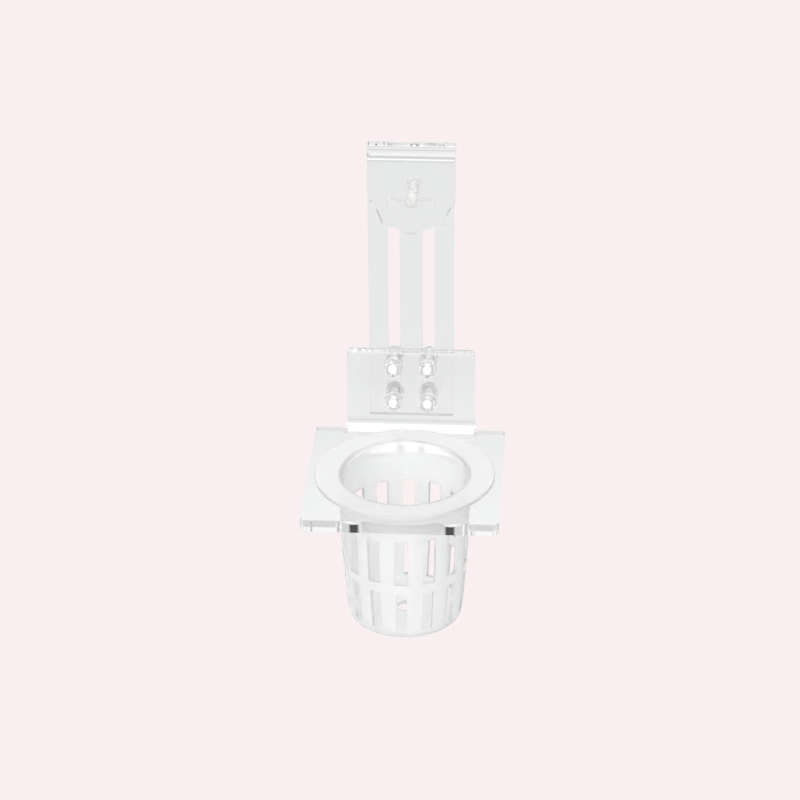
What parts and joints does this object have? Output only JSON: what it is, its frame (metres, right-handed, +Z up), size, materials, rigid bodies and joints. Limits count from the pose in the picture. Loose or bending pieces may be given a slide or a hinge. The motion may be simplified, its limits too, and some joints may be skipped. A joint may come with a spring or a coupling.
{
  "type": "hair dryer holder",
  "caption": "Clear acrylic holder that hooks over a panel's top edge, with a height-adjustable shelf bracket and a slotted basket for a hair dryer's barrel.",
  "frame": {"origin": "on the arm's rear face, inside the hook, on the centre line, 13 mm above the slots' upper ends: where the panel's front face rests", "axes": "+X to the right of someone facing the holder, +Y into the panel, +Z up"},
  "size_m": [0.122, 0.1747, 0.2865],
  "materials": {
    "acrylic_sheet": "polished clear acrylic sheet, flame-polished edges",
    "moulded_clear": "clear injection-moulded plastic, glossy",
    "nylon": "natural milky nylon, satin",
    "soft_cap": "soft white plastic, matt"
  },
  "bodies": {
    "hanger": {"hanger_arm": "acrylic_sheet"},
    "bracket": {"shelf_bracket": "acrylic_sheet", "bracket_screw_1": "nylon", "bracket_screw_2": "nylon", "bracket_screw_3": "nylon", "bracket_screw_4": "nylon", "rear_washer_1": "moulded_clear", "rear_washer_2": "moulded_clear", "rear_washer_3": "moulded_clear", "rear_washer_4": "moulded_clear", "front_washer_1": "moulded_clear", "front_washer_2": "moulded_clear", "front_washer_3": "moulded_clear", "front_washer_4": "moulded_clear"},
    "basket": {"nozzle_basket": "moulded_clear"},
    "clamp_tip": {"clamp_tip_cap": "soft_cap"},
    "clamp": {"clamp_screw": "nylon"},
    "nut_1": {"bracket_nut_1": "moulded_clear"},
    "nut_2": {"bracket_nut_2": "moulded_clear"},
    "nut_3": {"bracket_nut_3": "moulded_clear"},
    "nut_4": {"bracket_nut_4": "moulded_clear"}
  },
  "joints": [
    {"name": "bracket_slide", "type": "slide", "parent": "hanger", "child": "bracket", "axis": [0, 0, 1], "range_m": [-0.003, 0.107]},
    {"name": "basket_lift", "type": "slide", "parent": "bracket", "child": "basket", "axis": [0, 0, 1], "range_m": [0, 0.105]},
    {"name": "clamp_advance", "type": "slide", "parent": "hanger", "child": "clamp_tip", "axis": [0, 1, 0], "range_m": [0, 0.008]},
    {"name": "clamp_turn", "type": "hinge", "parent": "clamp_tip", "child": "clamp", "pos_m": [0, 0.03, -0.017], "axis": [0, 1, 0], "range_deg": [-1, 2881]},
    {"name": "nut_1_turn", "type": "hinge", "parent": "bracket", "child": "nut_1", "pos_m": [-0.011, -0.019, -0.1485], "axis": [0, -1, 0], "range_deg": [0, 360]},
    {"name": "nut_2_turn", "type": "hinge", "parent": "bracket", "child": "nut_2", "pos_m": [0.011, -0.019, -0.1485], "axis": [0, -1, 0], "range_deg": [0, 360]},
    {"name": "nut_3_turn", "type": "hinge", "parent": "bracket", "child": "nut_3", "pos_m": [-0.011, -0.019, -0.124], "axis": [0, -1, 0], "range_deg": [0, 360]},
    {"name": "nut_4_turn", "type": "hinge", "parent": "bracket", "child": "nut_4", "pos_m": [0.011, -0.019, -0.124], "axis": [0, -1, 0], "range_deg": [0, 360]}
  ],
  "couplings": [
    {"joint": "clamp_turn", "follows": "clamp_advance", "rad_per_m": 6283.2}
  ]
}
